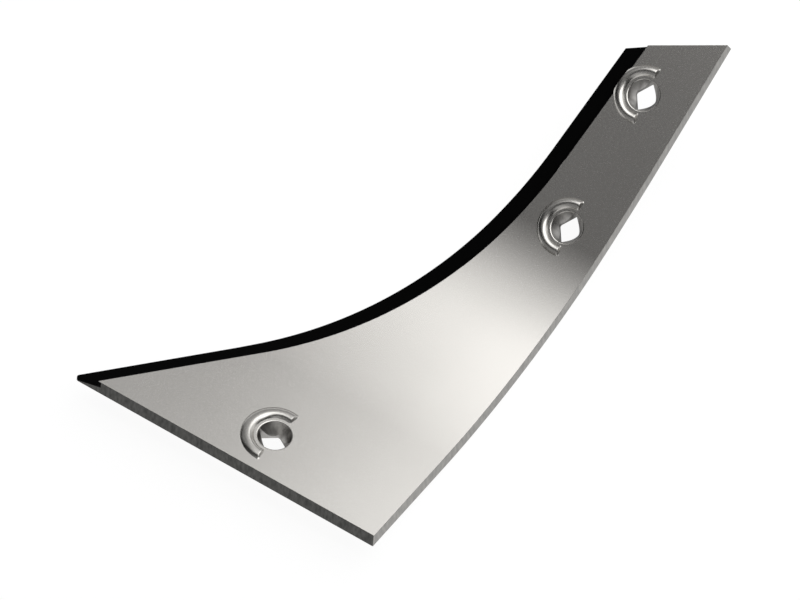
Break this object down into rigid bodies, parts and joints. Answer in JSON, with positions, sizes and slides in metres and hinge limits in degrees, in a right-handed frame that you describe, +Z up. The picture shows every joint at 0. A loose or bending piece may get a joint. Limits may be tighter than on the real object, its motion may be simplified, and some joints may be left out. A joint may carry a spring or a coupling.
{
  "type": "plough share",
  "caption": "Bent steel share that cuts the furrow slice: triangular foot, swept strip, bevelled cutting edge and beaded, countersunk bolt holes.",
  "frame": {"origin": "on the floor under the middle of the part's box, as it rests on its back", "axes": "+Z up, out of the worked face; +X along the lower edge, from the point to the heel corner; +Y up the plate, from the lower edge to the strip's end"},
  "size_m": [0.2396, 0.4008, 0.0742],
  "materials": {
    "ground_steel": "finely ground and polished, with a blackened bevel along the cutting edge"
  },
  "bodies": {
    "root": {"share_plate": "ground_steel"}
  },
  "joints": []
}
